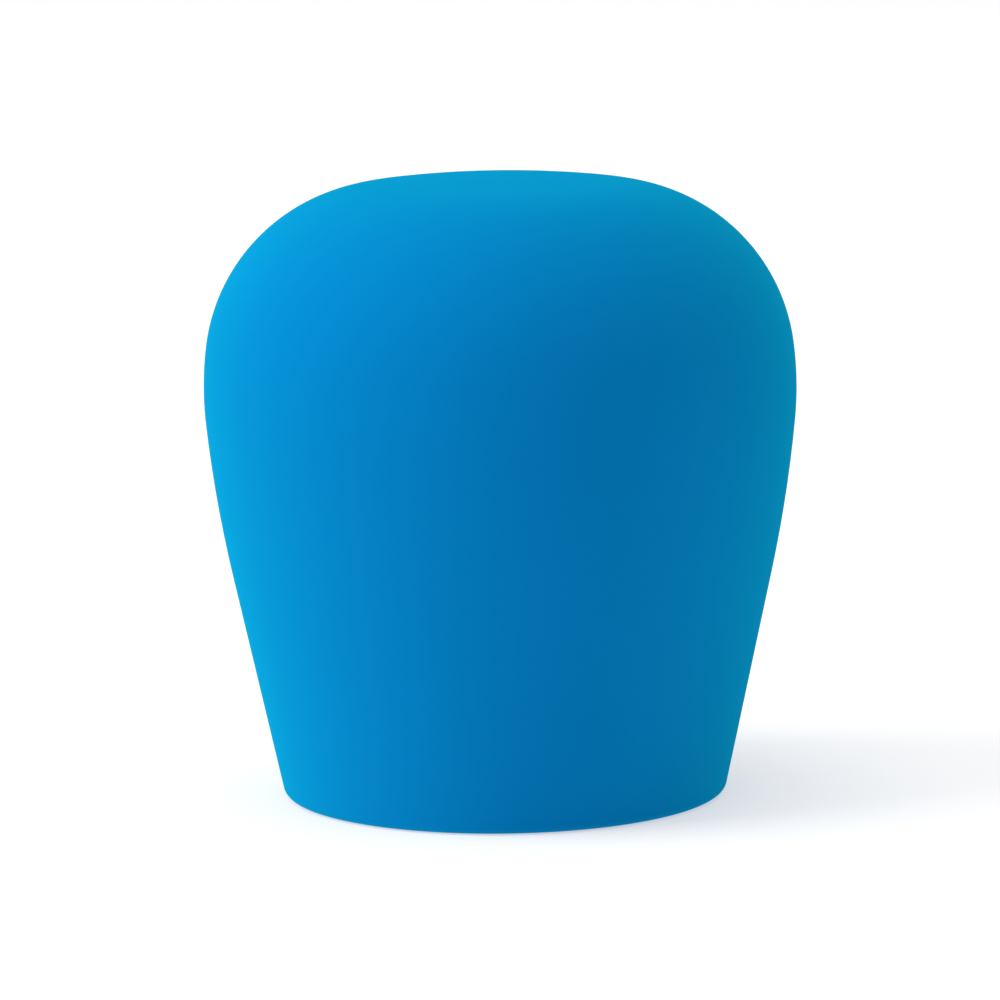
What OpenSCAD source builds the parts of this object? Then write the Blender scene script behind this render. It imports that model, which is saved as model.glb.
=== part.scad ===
// Pipette filler bulb: a squeezable silicone bulb that closes on a rigid valve plate.
// The plate holds the pipette socket and lets air out when the bulb is squeezed.
// The origin is the centre of the rim that the bulb stands on, and +Z is up.

/* [Bulb] */
// Widest diameter of the bulb
body_d = 58; // [56:1:62]
// Height from the rim to the top of the crown
body_h = 61; // [59:1:66]
// Radius of the nearly flat crown
crown_r = 100; // [90:5:120]
// Turn of the crown arc, in degrees
crown_turn = 7.5; // [7:0.1:8]
// Turn of the tight shoulder arc, in degrees
shoulder_turn = 74.9; // [73:0.1:76]
// Radius of the cheek arc, which holds the widest place
cheek_r = 33; // [30:1:40]
// Turn of the cheek arc, in degrees
cheek_turn = 13.1; // [12:0.1:14]
// Radius of the long flank arc
flank_r = 130; // [110:5:150]
// Slope of the straight lower side, in degrees from the axis
taper = 12.2; // [11:0.1:13]
// Thickness of the wall round the air chamber
wall = 2.8; // [2.2:0.1:3]
// Rounding of the outer edge of the rim
rim_r = 1; // [0.6:0.1:1.4]
// Height at which the pressed crown and the yielding side meet
crown_z = 44; // [42:1:46]

/* [Mouth] */
// Inner radius of the lip below the valve plate
lip_r = 17.4; // [17.2:0.1:18]
// Chamfer at the foot of the lip
lip_lead = 1.2; // [0.8:0.1:1.6]
// Height of the groove that grips the valve plate
groove_z = 7.5; // [7.5:0.5:8.5]
// Height of the collar above the groove
collar_h = 3; // [2.5:0.5:4]
// Inner radius of that collar
collar_r = 18.6; // [18.2:0.1:19]

/* [Valve plate] */
// Diameter of the plate's flange, the same as the groove
plate_d = 40.8; // [40:0.1:41.2]
// Thickness of the flange
plate_t = 3.5; // [3:0.5:4]
// Outer radius of the boss that stands on the plate
boss_r = 12.5; // [12.3:0.1:12.8]
// Radius of the bore through the boss
boss_bore_r = 10.3; // [10.2:0.1:10.5]
// Number of vent holes, and of the ribs between them
vents = 8; // [6:1:10]
// Diameter of a vent hole
vent_d = 2; // [1.6:0.1:2.2]

/* [Exhaust ring] */
// Thickness of the floating ring that covers the vents
ring_t = 0.8; // [0.6:0.1:1]
// Travel of the ring away from the plate
ring_lift = 1; // [0.8:0.1:1.2]
// Outer radius of the ring
ring_r = 16.4; // [16.2:0.1:16.6]

/* [Pipette socket] */
// Radius of the sleeve's bore, which grips the pipette
socket_r = 4; // [3.6:0.1:4.4]
// Length of that bore
socket_l = 9; // [8:0.5:9]
// Outer radius of the sleeve
sleeve_r = 8; // [7.8:0.1:8.2]
// Height of the nosepiece's face above the rim
nose_z = 1; // [0.6:0.1:1.4]
// Height of the nosepiece's inner end
nose_top = 15; // [14.5:0.5:15]
// Number of finger notches round the nosepiece
notches = 12; // [8:2:16]

/* [Check valve] */
// Radius of the ball
ball_r = 3.5; // [3.2:0.1:3.6]
// Lift of the ball off its seat
ball_lift = 1.5; // [1:0.1:1.8]
// Radius of the air hole under the ball
air_hole_r = 2.2; // [1.8:0.1:2.3]
// Number of windows in the ball's cage
windows = 4; // [3:1:5]

/* [Hidden] */
$fn = 96;

silicone_blue = [0.0, 0.45, 0.76];
plate_white = [0.90, 0.91, 0.90];
nose_grey = [0.62, 0.66, 0.69];
sleeve_grey = [0.78, 0.80, 0.80];
ring_grey = [0.30, 0.32, 0.34];
steel = [0.76, 0.77, 0.79];
filter_white = [0.97, 0.97, 0.95];

clear = 0.1;               // gap round a piece that slides or turns
arc_step = 3;              // degrees between two points of an arc
corner_steps = 4;          // straight pieces in a rounded corner
over = 0.01;               // overreach of a cutting shape past a face

// The shoulder takes the radius that makes the bulb as wide as body_d.
top_turn = crown_turn + shoulder_turn;
shoulder_r = (body_d / 2 - crown_r * sin(crown_turn) - cheek_r * (1 - sin(top_turn)))
             / (sin(top_turn) - sin(crown_turn));
flank_turn = 90 + taper - top_turn - cheek_turn;
body_arcs = [[crown_r, crown_turn], [shoulder_r, shoulder_turn], [cheek_r, cheek_turn],
             [flank_r, flank_turn]];

under_z = groove_z - 0.5;                  // face of the plate that the exhaust ring seals
ring_in_r = boss_r + 0.2;                  // hole in the exhaust ring
spigot_r = boss_r - clear;                 // stub that guides the exhaust ring
bead_t = 0.8;                              // bead that keeps the ring on the stub
spigot_z = under_z - ring_t - ring_lift - clear - bead_t;
vent_circle_r = (ring_in_r + ring_r) / 2;  // circle that the vents lie on
plate_top = groove_z + plate_t;

nose_lip_t = 1.6;                          // nosepiece lip that carries the sleeve
flange_t = 2;                              // sleeve flange between nosepiece and filter
filter_t = 2.4;
seal_t = 1.6;
filter_z = nose_top + flange_t;
seal_z = filter_z + filter_t;
deck_z = seal_z + seal_t;                  // underside of the boss's closed top
deck_t = 2.4;
hub_r = 5.8;                               // hub round the ball
hub_z = deck_z + deck_t;
hub_h = 4;
filter_r = boss_bore_r - 2 * clear;        // filter housing, free to slide in the boss
cover_r = filter_r - 1.4;
filter_open_r = 6.8;
membrane_z = filter_z + 0.9;
membrane_t = 0.3;
ball_room_r = ball_r + 0.8;
seat_h = 2.1;                              // height of the cone that the ball rests in
seat_z = hub_z + 1.2;
seat_angle = atan((ball_room_r - air_hole_r) / seat_h);
// The ball rests a clearance above the cone, measured along the axis.
ball_z = seat_z + (ball_r * cos(seat_angle) - air_hole_r) / tan(seat_angle)
         + ball_r * sin(seat_angle) + clear;
cage_t = 1.3;
cage_r = hub_r + clear + cage_t;
cage_roof_z = ball_z + ball_r + ball_lift + clear;

// Points of one arc after its start: c is its centre and a0 the heading, in degrees below level.
function arc_points(c, r, a0, turn) =
    let (n = max(3, ceil(turn / arc_step)))
    [for (i = [1:n]) let (a = a0 + turn * i / n) c + r * [sin(a), cos(a)]];

// Points of a chain of arcs that each start where the last one ends, in the same direction.
function arc_chain(arcs, from, heading = 0, i = 0) =
    i == len(arcs) ? [] :
    let (r = arcs[i][0], turn = arcs[i][1],
         pts = arc_points(from - r * [sin(heading), cos(heading)], r, heading, turn))
    concat(pts, arc_chain(arcs, pts[len(pts) - 1], heading + turn, i + 1));

function unit(v) = v / norm(v);

// Corner b of the outline a, b, c, rounded to radius r.
function corner(a, b, c, r) =
    r == 0 ? [b] :
    let (u = unit(a - b), v = unit(c - b), half = acos(u * v) / 2, run = r / tan(half),
         centre = b + unit(u + v) * r / sin(half),
         from = unit(b + u * run - centre), to = unit(b + v * run - centre))
    [for (i = [0:corner_steps]) let (t = i / corner_steps) centre + r * unit(from * (1 - t) + to * t)];

// Closed outline with rounded corners, each given as [x, y, radius].
function rounded(corners) =
    let (n = len(corners), pts = [for (c = corners) [c[0], c[1]]])
    [for (i = [0:n - 1]) each corner(pts[(i + n - 1) % n], pts[i], pts[(i + 1) % n], corners[i][2])];

function last(v) = v[len(v) - 1];
function reversed(v) = [for (i = [len(v) - 1:-1:0]) v[i]];

// Offset of the body's profile inward by t, from the axis down to the end of the flank.
function body_profile(t) =
    let (top = [0, body_h - t])
    concat([top], arc_chain([for (a = body_arcs) [a[0] - t, a[1]]], top));

// Radius at height z on the straight side, t inside the outer face.
function side_r(z, t = 0) =
    let (p = last(body_profile(t))) p[0] - (p[1] - z) * tan(taper);

// Half of the bulb's section: the outer face, the rim, the gripping groove and the chamber.
function bulb_section() =
    let (edge = rim_r * tan((90 - taper) / 2),
         start = [side_r(0), 0] + edge * [sin(taper), cos(taper)],
         neck_z = plate_top + collar_h,
         slope_z = neck_z + side_r(neck_z, wall) - collar_r)
    concat(
        body_profile(0),
        [start],
        arc_chain([[rim_r, 90 - taper]], start, 90 + taper),
        [[lip_r + lip_lead, 0], [lip_r, lip_lead], [lip_r, groove_z],
         [plate_d / 2, groove_z], [plate_d / 2, plate_top], [collar_r, plate_top],
         [collar_r, neck_z], [side_r(slope_z, wall), slope_z]],
        reversed(body_profile(wall)));

// The part of the bulb between two heights, turned about the axis.
module bulb_between(low, high) {
    color(silicone_blue)
        rotate_extrude()
            intersection() {
                polygon(bulb_section());
                translate([0, low]) square([body_d, high - low]);
            }
}

module bulb_wall() bulb_between(0, crown_z);

module bulb_crown() bulb_between(crown_z, body_h);

// A ring or tube, or a disc if its inner radius is 0.
module tube(outer, inner, low, high) {
    translate([0, 0, low])
        difference() {
            cylinder(r = outer, h = high - low);
            if (inner > 0)
                translate([0, 0, -over]) cylinder(r = inner, h = high - low + 2 * over);
        }
}

// Upright web that stiffens the plate, from the boss out to the collar.
module rib() {
    rib_t = 1.2;
    foot_r = collar_r - 0.6;
    translate([0, rib_t / 2, 0])
        rotate([90, 0, 0])
            linear_extrude(rib_t)
                polygon(rounded([[boss_r - 1, plate_top - 1, 0], [foot_r, plate_top - 1, 0],
                                 [foot_r, plate_top + 1, 0.6], [boss_r, plate_top + 7, 0],
                                 [boss_r - 1, plate_top + 7, 0]]));
}

// Half section of the plate: from the bead up the outside to the hub, and down through the bores.
function plate_section() =
    let (bead_r = spigot_r + 0.6, hub_top = hub_z + hub_h)
    rounded([[boss_bore_r, spigot_z, 0.4], [bead_r, spigot_z, 0.25], [bead_r, spigot_z + bead_t, 0.15],
             [spigot_r, spigot_z + bead_t, 0], [spigot_r, under_z, 0], [lip_r - clear, under_z, 0.2],
             [lip_r - clear, groove_z, 0], [plate_d / 2, groove_z, 0.3], [plate_d / 2, plate_top, 0.3],
             [boss_r, plate_top, 1], [boss_r, hub_z, 1], [hub_r, hub_z, 0.3], [hub_r, hub_top, 0.4],
             [ball_room_r, hub_top, 0.3], [ball_room_r, seat_z + seat_h, 0], [air_hole_r, seat_z, 0],
             [air_hole_r, deck_z, 0.3], [boss_bore_r, deck_z, 0]]);

module valve_plate() {
    color(plate_white) {
        difference() {
            rotate_extrude() polygon(plate_section());
            for (i = [0:vents - 1])
                rotate(i * 360 / vents)
                    translate([vent_circle_r, 0, 0]) cylinder(d = vent_d, h = hub_z);
        }
        for (i = [0:vents - 1]) rotate((i + 0.5) * 360 / vents) rib();
    }
}

module exhaust_ring() {
    color(ring_grey) tube(ring_r, ring_in_r, under_z - clear / 2 - ring_t, under_z - clear / 2);
}

// Cap over the ball: a skirt on the hub, a wall with windows and a roof that stops the ball.
module ball_cage() {
    skirt_z = hub_z + 0.4;
    hub_top = hub_z + hub_h;
    cage_top = cage_roof_z + cage_t;
    roof_hole_r = 1.5;
    window_z = hub_top + 0.2;
    window_w = 4.4;
    section = rounded([[hub_r, skirt_z, 0.3], [cage_r, skirt_z, 0.2], [cage_r, cage_top, 0.8],
                       [roof_hole_r, cage_top, 0.3], [roof_hole_r, cage_roof_z, 0],
                       [ball_room_r, cage_roof_z, 0], [ball_room_r, hub_top, 0], [hub_r, hub_top, 0]]);
    color(plate_white)
        difference() {
            rotate_extrude() polygon(section);
            for (i = [0:windows - 1])
                rotate(i * 360 / windows)
                    translate([0, -window_w / 2, window_z])
                        cube([cage_r + 1, window_w, cage_roof_z - window_z]);
        }
}

module check_ball() {
    color(steel) translate([0, 0, ball_z]) sphere(r = ball_r);
}

// Square-cut seal between the filter and the closed top of the boss.
module seal_ring() {
    seal_in_r = filter_open_r + 0.8;
    color(ring_grey) tube(boss_bore_r, seal_in_r, seal_z, deck_z);
}

// Spokes across a round opening of radius r, with a hub where they meet.
module spokes(r, low, high) {
    spoke_w = 0.8;
    translate([0, 0, low]) cylinder(r = 1.2, h = high - low);
    for (i = [0:2])
        rotate(i * 60) translate([-r, -spoke_w / 2, low]) cube([2 * r, spoke_w, high - low]);
}

// Lower half of the filter housing: a floor with spokes and a wall round the membrane.
module filter_base() {
    color(plate_white) {
        tube(filter_r, cover_r + clear / 2, membrane_z, seal_z - clear);
        tube(filter_r, filter_open_r, filter_z, membrane_z);
        spokes(filter_open_r + 0.2, filter_z, membrane_z);
    }
}

module filter_membrane() {
    color(filter_white) tube(cover_r, 0, membrane_z, membrane_z + membrane_t);
}

// Upper half of the filter housing, which clamps the membrane's edge.
module filter_cover() {
    low = membrane_z + membrane_t;
    color(plate_white) {
        tube(cover_r, filter_open_r, low, seal_z - clear);
        spokes(filter_open_r + 0.2, low, seal_z - clear);
    }
}

// Soft sleeve: a flared entry, the gripping bore, a stop for the pipette and a funnel above it.
module pipette_sleeve() {
    entry_z = nose_z + nose_lip_t + clear;
    bore_z = entry_z + 2.3;
    stop_z = bore_z + socket_l;
    flange_z = nose_top + clear;
    entry_r = 5.4;
    throat_r = 2.6;
    funnel_r = 5.6;
    color(sleeve_grey)
        rotate_extrude()
            polygon(rounded([[entry_r, entry_z, 0.3], [sleeve_r - clear, entry_z, 0.3],
                             [sleeve_r - clear, flange_z, 0], [filter_r, flange_z, 0.3],
                             [filter_r, filter_z, 0.3], [funnel_r, filter_z, 0.2],
                             [throat_r, stop_z + 1, 0], [throat_r, stop_z, 0], [socket_r, stop_z, 0],
                             [socket_r, bore_z, 0]]));
}

// Screwed collar that holds the sleeve: threaded barrel, notched flange and inward lip.
module nosepiece() {
    barrel_r = boss_bore_r - 2 * clear;
    flange_r = spigot_r + 0.5;
    flange_top = spigot_z - 2 * clear;
    lip_top = nose_z + nose_lip_t;
    mouth_r = 5.8;
    notch_r = 1.4;
    section = rounded([[barrel_r, nose_top, 0.3], [sleeve_r, nose_top, 0.2], [sleeve_r, lip_top, 0],
                       [mouth_r, lip_top, 0], [mouth_r, nose_z, 0.6], [flange_r, nose_z, 0.6],
                       [flange_r, flange_top, 0.4], [barrel_r, flange_top, 0]]);
    color(nose_grey)
        difference() {
            rotate_extrude() polygon(section);
            for (i = [0:notches - 1])
                rotate(i * 360 / notches)
                    translate([flange_r + 0.5, 0, 0]) cylinder(r = notch_r, h = flange_top + over);
        }
}

bulb_wall();
bulb_crown();
valve_plate();
exhaust_ring();
ball_cage();
check_ball();
seal_ring();
filter_cover();
filter_membrane();
filter_base();
pipette_sleeve();
nosepiece();
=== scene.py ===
import math

import bmesh
import bpy
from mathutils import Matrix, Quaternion, Vector


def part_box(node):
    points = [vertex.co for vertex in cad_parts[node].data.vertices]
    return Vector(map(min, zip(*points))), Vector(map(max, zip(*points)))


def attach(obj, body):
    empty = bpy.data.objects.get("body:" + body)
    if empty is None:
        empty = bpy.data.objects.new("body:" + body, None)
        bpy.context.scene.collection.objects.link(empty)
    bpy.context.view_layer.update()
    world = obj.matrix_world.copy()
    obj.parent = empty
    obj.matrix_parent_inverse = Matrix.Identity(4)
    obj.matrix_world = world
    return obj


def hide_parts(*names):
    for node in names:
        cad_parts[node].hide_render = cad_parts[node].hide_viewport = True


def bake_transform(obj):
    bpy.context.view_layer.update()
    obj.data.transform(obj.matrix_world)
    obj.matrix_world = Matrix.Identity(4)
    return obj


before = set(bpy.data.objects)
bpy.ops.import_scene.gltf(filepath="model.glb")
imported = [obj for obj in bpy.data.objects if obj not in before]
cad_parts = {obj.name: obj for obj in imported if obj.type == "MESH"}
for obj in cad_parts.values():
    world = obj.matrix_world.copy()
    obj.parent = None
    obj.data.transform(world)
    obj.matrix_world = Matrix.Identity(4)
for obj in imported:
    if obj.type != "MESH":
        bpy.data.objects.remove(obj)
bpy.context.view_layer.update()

MM = 0.001

# Driving dimensions of the bulb, in millimetres and degrees.
BULB_D = 58.0
BULB_H = 61.0
CROWN_R = 100.0        # nearly flat crown
CROWN_TURN = 7.5
SHOULDER_TURN = 74.9   # the shoulder's radius is worked out, so that the bulb is BULB_D wide
CHEEK_R = 33.0         # arc that holds the widest place
CHEEK_TURN = 13.1
FLANK_R = 130.0        # long arc between the cheek and the straight side
TAPER = 12.2           # lean of the straight side from the axis
WALL = 2.8
RIM_R = 1.0
LIP_R = 17.4           # lip below the valve plate
LIP_LEAD = 1.2
GROOVE_R = 20.4        # groove that grips the plate
GROOVE_LOW = 7.5
GROOVE_HIGH = 11.0
COLLAR_R = 18.6        # collar above the groove
COLLAR_TOP = 14.0

ARC_STEP = 1.0         # degrees between two points of an arc
BULB_SEGMENTS = 192    # facets round the bulb
FINE_SEGMENTS = 144    # facets round the sleeve and the exhaust ring
THREAD_SEGMENTS = 240  # facets round the threaded nosepiece
CORNER_SHARE = 0.45    # most of a side that one rounded corner may take
GUARD = 0.05           # how far outside a rounded corner its guard points are


# ---------------------------------------------------------------- profiles

def arc_chain(arcs, start, heading=0.0):
    """Points after start along arcs of (radius, turn), each tangent to the last.
    Heading is in degrees below level."""
    points = []
    x, z = start
    for radius, turn in arcs:
        a0 = math.radians(heading)
        cx = x - radius * math.sin(a0)
        cz = z - radius * math.cos(a0)
        steps = max(4, math.ceil(turn / ARC_STEP))
        for i in range(1, steps + 1):
            a = math.radians(heading + turn * i / steps)
            points.append((cx + radius * math.sin(a), cz + radius * math.cos(a)))
        x, z = points[-1]
        heading += turn
    return points


def body_arcs(inset):
    """The bulb's arcs from the crown down to the straight side, inset by that much."""
    top_turn = CROWN_TURN + SHOULDER_TURN
    s0 = math.sin(math.radians(CROWN_TURN))
    s1 = math.sin(math.radians(top_turn))
    shoulder_r = (BULB_D / 2 - CROWN_R * s0 - CHEEK_R * (1 - s1)) / (s1 - s0)
    flank_turn = 90 + TAPER - top_turn - CHEEK_TURN
    arcs = [(CROWN_R, CROWN_TURN), (shoulder_r, SHOULDER_TURN), (CHEEK_R, CHEEK_TURN),
            (FLANK_R, flank_turn)]
    return [(r - inset, turn) for r, turn in arcs]


def body_profile(inset):
    """Half outline of the bulb from the axis at the top to the start of the straight side."""
    top = (0.0, BULB_H - inset)
    return [top] + arc_chain(body_arcs(inset), top)


def side_r(z, inset=0.0):
    """Radius of the straight side at height z."""
    x, z0 = body_profile(inset)[-1]
    return x - (z0 - z) * math.tan(math.radians(TAPER))


def rounded(points, radii, closed=False, steps=5):
    """An outline with rounded corners. radii has one value for each point, 0 for a sharp one.
    A guard point just outside each arc keeps the smooth shading inside the corner."""
    out = []
    count = len(points)
    for i, (p, r) in enumerate(zip(points, radii)):
        if r <= 0 or (not closed and i in (0, count - 1)):
            out.append(p)
            continue
        here = Vector(p)
        to_last = Vector(points[i - 1]) - here
        to_next = Vector(points[(i + 1) % count]) - here
        half = to_last.angle(to_next) / 2
        room = CORNER_SHARE * min(to_last.length, to_next.length)
        run = min(r / math.tan(half), room)
        last, next_ = to_last.normalized(), to_next.normalized()
        a = here + last * run
        b = here + next_ * run
        centre = here + (last + next_).normalized() * (run / math.cos(half))
        va, vb = a - centre, b - centre
        sweep = va.angle_signed(vb)
        guard = min(GUARD, 0.1 * room)
        out.append(tuple(a + last * guard))
        for k in range(steps + 1):
            angle = -sweep * k / steps
            c, s = math.cos(angle), math.sin(angle)
            out.append((centre.x + c * va.x - s * va.y, centre.y + s * va.x + c * va.y))
        out.append(tuple(b + next_ * guard))
    return out


def split_line(a, b, count):
    """Points strictly between a and b that cut the line into count equal parts."""
    return [(a[0] + (b[0] - a[0]) * i / count, a[1] + (b[1] - a[1]) * i / count) for i in range(1, count)]


# ---------------------------------------------------------------- meshes

def revolve(name, profile, segments, bend=None, closed=False):
    """A solid of revolution about Z from (r, z) points. bend(r, z, angle) may move a point of it.
    closed joins the last point to the first. Otherwise the profile starts and ends on the axis."""
    mesh = bpy.data.meshes.new(name)
    bm = bmesh.new()
    rings = []
    for r, z in profile:
        if r < 1e-6:
            rings.append([bm.verts.new((0, 0, z * MM))])
            continue
        ring = []
        for k in range(segments):
            angle = 2 * math.pi * k / segments
            rr, zz = bend(r, z, angle) if bend else (r, z)
            ring.append(bm.verts.new((rr * MM * math.cos(angle), rr * MM * math.sin(angle), zz * MM)))
        rings.append(ring)
    pairs = list(zip(rings, rings[1:]))
    if closed:
        pairs.append((rings[-1], rings[0]))
    for upper, lower in pairs:
        for k in range(segments):
            j = (k + 1) % segments
            if len(upper) == 1:
                bm.faces.new((upper[0], lower[k], lower[j]))
            elif len(lower) == 1:
                bm.faces.new((upper[k], lower[0], upper[j]))
            else:
                bm.faces.new((upper[k], lower[k], lower[j], upper[j]))
    bmesh.ops.recalc_face_normals(bm, faces=bm.faces)
    for face in bm.faces:
        face.smooth = True
    bm.to_mesh(mesh)
    bm.free()
    obj = bpy.data.objects.new(name, mesh)
    bpy.context.scene.collection.objects.link(obj)
    return obj


# ---------------------------------------------------------------- materials

def new_material(name):
    """A new material, its node tree and its Principled shader."""
    material = bpy.data.materials.new(name)
    material.use_nodes = True
    tree = material.node_tree
    return material, tree, tree.nodes["Principled BSDF"]


def noise(tree, scale, detail=3.0, roughness=0.5):
    """A noise texture in object space, in metres."""
    where = tree.nodes.new("ShaderNodeTexCoord")
    node = tree.nodes.new("ShaderNodeTexNoise")
    node.inputs["Scale"].default_value = scale
    node.inputs["Detail"].default_value = detail
    node.inputs["Roughness"].default_value = roughness
    tree.links.new(where.outputs["Object"], node.inputs["Vector"])
    return node.outputs["Fac"]


def ramp(tree, fac, stops):
    """A colour ramp over fac with stops of (place, (r, g, b))."""
    node = tree.nodes.new("ShaderNodeValToRGB")
    elements = node.color_ramp.elements
    while len(elements) < len(stops):
        elements.new(0.5)
    for element, (place, colour) in zip(elements, stops):
        element.position = place
        element.color = (*colour, 1.0)
    tree.links.new(fac, node.inputs["Fac"])
    return node.outputs["Color"]


def span(tree, fac, low, high):
    """Maps fac from 0..1 to low..high."""
    node = tree.nodes.new("ShaderNodeMapRange")
    node.inputs["To Min"].default_value = low
    node.inputs["To Max"].default_value = high
    tree.links.new(fac, node.inputs["Value"])
    return node.outputs["Result"]


def bump(tree, shader, height, depth_mm):
    """Adds a bump of that depth in millimetres."""
    node = tree.nodes.new("ShaderNodeBump")
    node.inputs["Strength"].default_value = 1.0
    node.inputs["Distance"].default_value = depth_mm * MM
    tree.links.new(height, node.inputs["Height"])
    tree.links.new(node.outputs["Normal"], shader.inputs["Normal"])


def moulded(name, colour, shade, roughness, grain=900.0, depth=0.01, specular=0.5):
    """A moulded plastic or rubber: faint mottling of colour and roughness, and a fine grain.
    shade is the darkest mottle as a share of colour, and depth is the grain's, in millimetres."""
    material, tree, shader = new_material(name)
    cloudy = noise(tree, 120.0, 4.0)
    darker = tuple(c * shade for c in colour)
    tree.links.new(ramp(tree, cloudy, [(0.3, darker), (0.7, colour)]), shader.inputs["Base Color"])
    low, high = roughness
    tree.links.new(span(tree, noise(tree, 420.0, 2.0), low, high), shader.inputs["Roughness"])
    bump(tree, shader, noise(tree, grain, 2.0), depth)
    shader.inputs["IOR"].default_value = 1.45
    shader.inputs["Specular IOR Level"].default_value = specular
    return material


def bulb_silicone():
    """Satin blue silicone: a soft cyan sheen towards its edges, and hardly any gloss."""
    material = moulded("bulb_silicone", (0.0005, 0.119, 0.413), 0.975, (0.42, 0.50),
                       grain=1400.0, depth=0.003, specular=0.0)
    shader = material.node_tree.nodes["Principled BSDF"]
    shader.inputs["Sheen Weight"].default_value = 0.32
    shader.inputs["Sheen Roughness"].default_value = 0.8
    shader.inputs["Sheen Tint"].default_value = (0.01, 0.99, 1.0, 1.0)
    return material


# ---------------------------------------------------------------- pieces

def make_bulb():
    """The silicone moulding as one continuous skin: outside, rim, lip, groove, collar and chamber."""
    run = RIM_R * math.tan(math.radians((90 - TAPER) / 2))
    lean = math.radians(TAPER)
    rim_start = (side_r(0) + run * math.sin(lean), run * math.cos(lean))
    outer = body_profile(0)
    rim = arc_chain([(RIM_R, 90 - TAPER)], rim_start, 90 + TAPER)
    slope_top = COLLAR_TOP + side_r(COLLAR_TOP, WALL) - COLLAR_R
    chamber_low = slope_top + 2
    mouth = rounded(
        [rim[-1], (LIP_R + LIP_LEAD, 0), (LIP_R, LIP_LEAD), (LIP_R, GROOVE_LOW), (GROOVE_R, GROOVE_LOW),
         (GROOVE_R, GROOVE_HIGH), (COLLAR_R, GROOVE_HIGH), (COLLAR_R, COLLAR_TOP),
         (side_r(slope_top, WALL), slope_top), (side_r(chamber_low, WALL), chamber_low)],
        [0, 0.8, 0.8, 0.35, 0.15, 0.15, 0.35, 0.6, 1.5, 0])
    inner = body_profile(WALL)[::-1]
    outer_rows, inner_rows = 14, 6
    profile = (outer + split_line(outer[-1], rim_start, outer_rows) + [rim_start] + rim
               + mouth[1:] + split_line(mouth[-1], inner[0], inner_rows) + inner)
    bulb = revolve("bulb", profile, BULB_SEGMENTS)
    bulb.data.materials.append(bulb_silicone())
    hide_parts("bulb_wall", "bulb_crown")
    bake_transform(bulb)


def node_size(node):
    """(lowest z, highest z, largest radius) of a round CAD node, in millimetres."""
    low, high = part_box(node)
    return low.z / MM, high.z / MM, high.x / MM


def stand_for(piece, node, body, material):
    """Puts a detailed piece in the place of one CAD node."""
    piece.data.materials.append(material)
    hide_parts(node)
    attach(piece, body)


def make_nosepiece(material):
    """The screwed collar: a flange with finger notches, an inner lip and a right-hand thread."""
    low, high, flange_r = node_size("nosepiece")
    flange_top = low + 3.1
    bore_r, mouth_r, lip_top = 8.0, 5.8, low + 1.6
    crest_r, core_r, pitch = 10.05, 9.6, 2.0
    thread_low, thread_high, run_out = flange_top + 0.9, high - 0.7, 0.6
    notches, notch_r = 12, 1.4
    notch_circle_r = flange_r + 0.5
    notched_from_r = flange_r - 0.7

    def ridge(turn):
        """Height of the thread's ridge, 0 to 1, over one pitch: a root, a flank and a crest."""
        rise = min(turn, 1 - turn) * 2
        root, flank = 0.30, 0.40
        return max(0.0, min(1.0, (rise - root) / flank))

    def notch_depth(angle):
        """How far a finger notch cuts into the flange at that angle."""
        step = 2 * math.pi / notches
        off = (angle + step / 2) % step - step / 2
        side = notch_circle_r * math.sin(off)
        if abs(side) >= notch_r:
            return 0.0
        wall_r = notch_circle_r * math.cos(off) - math.sqrt(notch_r ** 2 - side ** 2)
        return max(0.0, flange_r - wall_r)

    def bend(r, z, angle):
        """Cuts the notches into the flange and raises the thread on the barrel."""
        if r > notched_from_r:
            return r - notch_depth(angle), z
        if abs(r - core_r) < 1e-4 and thread_low < z < thread_high:
            fade = min(1.0, (z - thread_low) / run_out, (thread_high - z) / run_out)
            turn = (z / pitch - angle / (2 * math.pi)) % 1.0
            return r + (crest_r - core_r) * fade * ridge(turn), z
        return r, z

    foot = rounded(
        [(core_r, high), (bore_r, high), (bore_r, lip_top), (mouth_r, lip_top), (mouth_r, low),
         (flange_r, low), (flange_r, flange_top), (core_r, flange_top)],
        [0.35, 0.4, 0.2, 0.3, 0.6, 0.6, 0.45, 0.3], closed=True)
    barrel_low, barrel_high, rows = flange_top + 0.6, high - 0.6, 96
    barrel = [(core_r, barrel_low + (barrel_high - barrel_low) * i / rows) for i in range(rows + 1)]
    piece = revolve("nosepiece_threaded", foot + barrel, THREAD_SEGMENTS, bend, closed=True)
    stand_for(piece, "nosepiece", "screw_collar", material)


def make_sleeve(material):
    """The soft socket: a flared entry, grip grooves along the bore, a stop and a funnel."""
    low, high, flange_r = node_size("pipette_sleeve")
    body_r, bore_r, entry_r, throat_r, funnel_r = 7.9, 4.0, 5.4, 2.6, 5.6
    bore_low, bore_high = low + 2.3, low + 11.3
    flange_low = high - 1.9
    groove_depth, groove_pitch, plain_end, rows = 0.16, 1.5, 0.75, 84
    grooves_low, grooves_high = bore_low + plain_end, bore_high - plain_end
    bore = []
    for i in range(rows + 1):
        z = grooves_low + (grooves_high - grooves_low) * i / rows
        wave = (1 - math.cos(2 * math.pi * (z - grooves_low) / groove_pitch)) / 2
        bore.append((bore_r + groove_depth * wave ** 2, z))
    outside = rounded(
        [(bore_r, bore_low), (entry_r, low), (body_r, low), (body_r, flange_low), (flange_r, flange_low),
         (flange_r, high), (funnel_r, high), (throat_r, bore_high + 1.0), (throat_r, bore_high),
         (bore_r, bore_high)],
        [0.5, 0.4, 0.4, 0.2, 0.35, 0.35, 0.3, 0.2, 0.25, 0.25], closed=True)
    piece = revolve("pipette_sleeve_grooved", outside + bore[::-1], FINE_SEGMENTS, closed=True)
    stand_for(piece, "pipette_sleeve", "socket", material)


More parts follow.
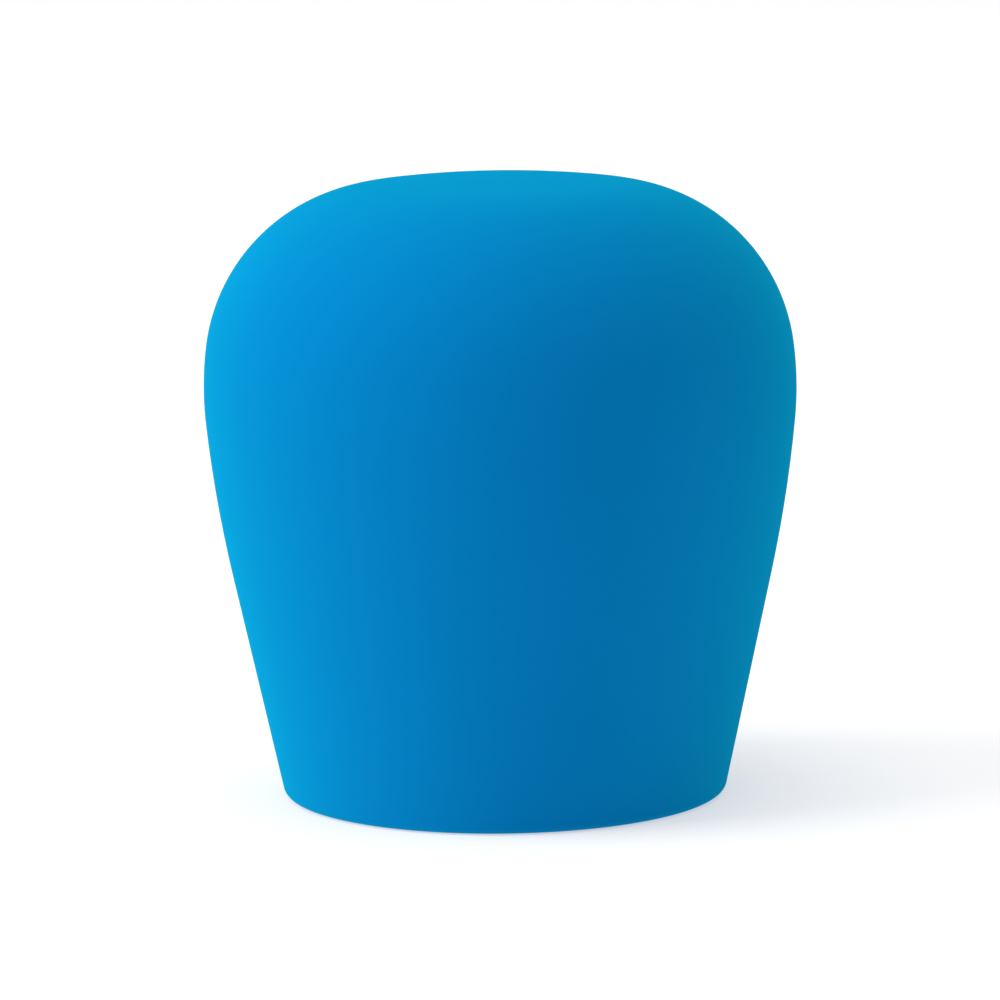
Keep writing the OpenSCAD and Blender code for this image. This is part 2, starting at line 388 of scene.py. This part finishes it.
def make_exhaust_ring(material):
    """The ring valve: flat above where it seals, and thinner towards its free edge below."""
    low, high, outer_r = node_size("exhaust_ring")
    inner_r = 12.7
    edge_low = high - 0.45
    outline = rounded(
        [(inner_r, low), (inner_r, high), (outer_r, high), (outer_r, edge_low), (inner_r + 1.6, low + 0.08),
         (inner_r + 1.1, low)],
        [0.2, 0.15, 0.12, 0.2, 0.6, 0.3], closed=True)
    piece = revolve("exhaust_ring_moulded", outline, FINE_SEGMENTS, closed=True)
    stand_for(piece, "exhaust_ring", "exhaust_valve", material)


# ---------------------------------------------------------------- studio

def make_floor():
    """A pale light table: it glows a little, so the shadow on it stays faint."""
    bpy.ops.mesh.primitive_plane_add(size=6.0, location=(0, 0, -0.05 * MM))
    floor = bpy.context.object
    floor.name = "floor"
    material, _, shader = new_material("floor")
    shader.inputs["Base Color"].default_value = (0.54, 0.54, 0.54, 1.0)
    shader.inputs["Emission Color"].default_value = (1.0, 1.0, 1.0, 1.0)
    shader.inputs["Emission Strength"].default_value = 0.51
    shader.inputs["Roughness"].default_value = 0.9
    shader.inputs["Specular IOR Level"].default_value = 0.1
    floor.data.materials.append(material)


def softbox(name, azimuth, elevation, size, power):
    """A rectangular light that faces the bulb. Azimuth 0 is the camera's side, and plus is to the right."""
    distance, target = 2.1, Vector((0, 0, 0.03))
    data = bpy.data.lights.new(name, "AREA")
    data.shape = "RECTANGLE"
    data.size, data.size_y = size
    data.energy = power
    light = bpy.data.objects.new(name, data)
    bpy.context.scene.collection.objects.link(light)
    a, e = math.radians(azimuth), math.radians(elevation)
    away = Vector((math.sin(a) * math.cos(e), -math.cos(a) * math.cos(e), math.sin(e)))
    light.location = target + distance * away
    light.rotation_euler = (-away).to_track_quat("-Z", "Y").to_euler()


def make_world():
    """Even white light from all round."""
    world = bpy.data.worlds.new("studio")
    bpy.context.scene.world = world
    world.use_nodes = True
    background = world.node_tree.nodes["Background"]
    background.inputs["Color"].default_value = (1.0, 1.0, 1.0, 1.0)
    background.inputs["Strength"].default_value = 0.49


def make_lights():
    """A tall soft key on the left, a soft light above and a faint one behind on the right."""
    softbox("key", -79, 31, (1.4, 2.6), 44.0)
    softbox("top", 0, 90, (1.5, 1.5), 17.4)
    softbox("rim", 130, 8, (1.5, 1.5), 1.6)


def make_camera():
    """The camera: slightly above, and rolled a little so that the bulb leans to the left."""
    data = bpy.data.cameras.new("camera")
    data.sensor_width = 36.0
    data.lens = 190.6
    data.clip_start = 0.01
    camera = bpy.data.objects.new("camera", data)
    bpy.context.scene.collection.objects.link(camera)
    distance, elevation, roll = 0.520, math.radians(8.5), math.radians(-0.73)
    middle = Vector((0, 0, BULB_H * MM / 2))
    place = middle + distance * Vector((0, -math.cos(elevation), math.sin(elevation)))
    aim_shift = Vector((-0.00016, 0, -0.00159))
    aim = middle + aim_shift
    camera.location = place
    look = (aim - place).to_track_quat("-Z", "Y")
    camera.rotation_mode = "QUATERNION"
    camera.rotation_quaternion = look @ Quaternion((0, 0, 1), roll)
    bpy.context.scene.camera = camera


def dress(node, material):
    """Gives a CAD node that is shown as it is its finished material."""
    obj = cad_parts[node]
    obj.data.materials.clear()
    obj.data.materials.append(material)


def steel():
    """Polished ball steel: a mirror with faint wear."""
    material, tree, shader = new_material("ball_steel")
    shades = [(0.35, (0.62, 0.63, 0.65)), (0.65, (0.74, 0.75, 0.77))]
    tree.links.new(ramp(tree, noise(tree, 300.0, 5.0), shades), shader.inputs["Base Color"])
    tree.links.new(span(tree, noise(tree, 1600.0, 4.0, 0.7), 0.05, 0.22), shader.inputs["Roughness"])
    shader.inputs["Metallic"].default_value = 1.0
    return material


def membrane():
    """Felted filter membrane: off-white, matt and fibrous."""
    material, tree, shader = new_material("membrane")
    shades = [(0.3, (0.80, 0.80, 0.76)), (0.7, (0.95, 0.95, 0.92))]
    tree.links.new(ramp(tree, noise(tree, 1500.0, 6.0, 0.7), shades), shader.inputs["Base Color"])
    shader.inputs["Roughness"].default_value = 0.95
    bump(tree, shader, noise(tree, 3000.0, 5.0, 0.8), 0.05)
    return material


def make_mouth():
    """Everything that the mouth of the bulb holds."""
    white = moulded("white_plastic", (0.84, 0.85, 0.84), 0.96, (0.34, 0.46), 1100.0, 0.006)
    grey = moulded("grey_plastic", (0.50, 0.55, 0.59), 0.95, (0.36, 0.48), 1100.0, 0.008)
    black = moulded("valve_rubber", (0.045, 0.05, 0.055), 0.8, (0.52, 0.66), 900.0, 0.012, specular=0.4)
    soft = moulded("sleeve_silicone", (0.60, 0.63, 0.64), 0.95, (0.40, 0.52), 900.0, 0.006, specular=0.4)
    for node in ("valve_plate", "ball_cage", "filter_cover", "filter_base"):
        dress(node, white)
    dress("seal_ring", black)
    dress("check_ball", steel())
    dress("filter_membrane", membrane())
    make_nosepiece(grey)
    make_sleeve(soft)
    make_exhaust_ring(black)


make_mouth()
make_bulb()
make_floor()
make_world()
make_lights()
make_camera()
bpy.context.scene.view_settings.view_transform = "Standard"
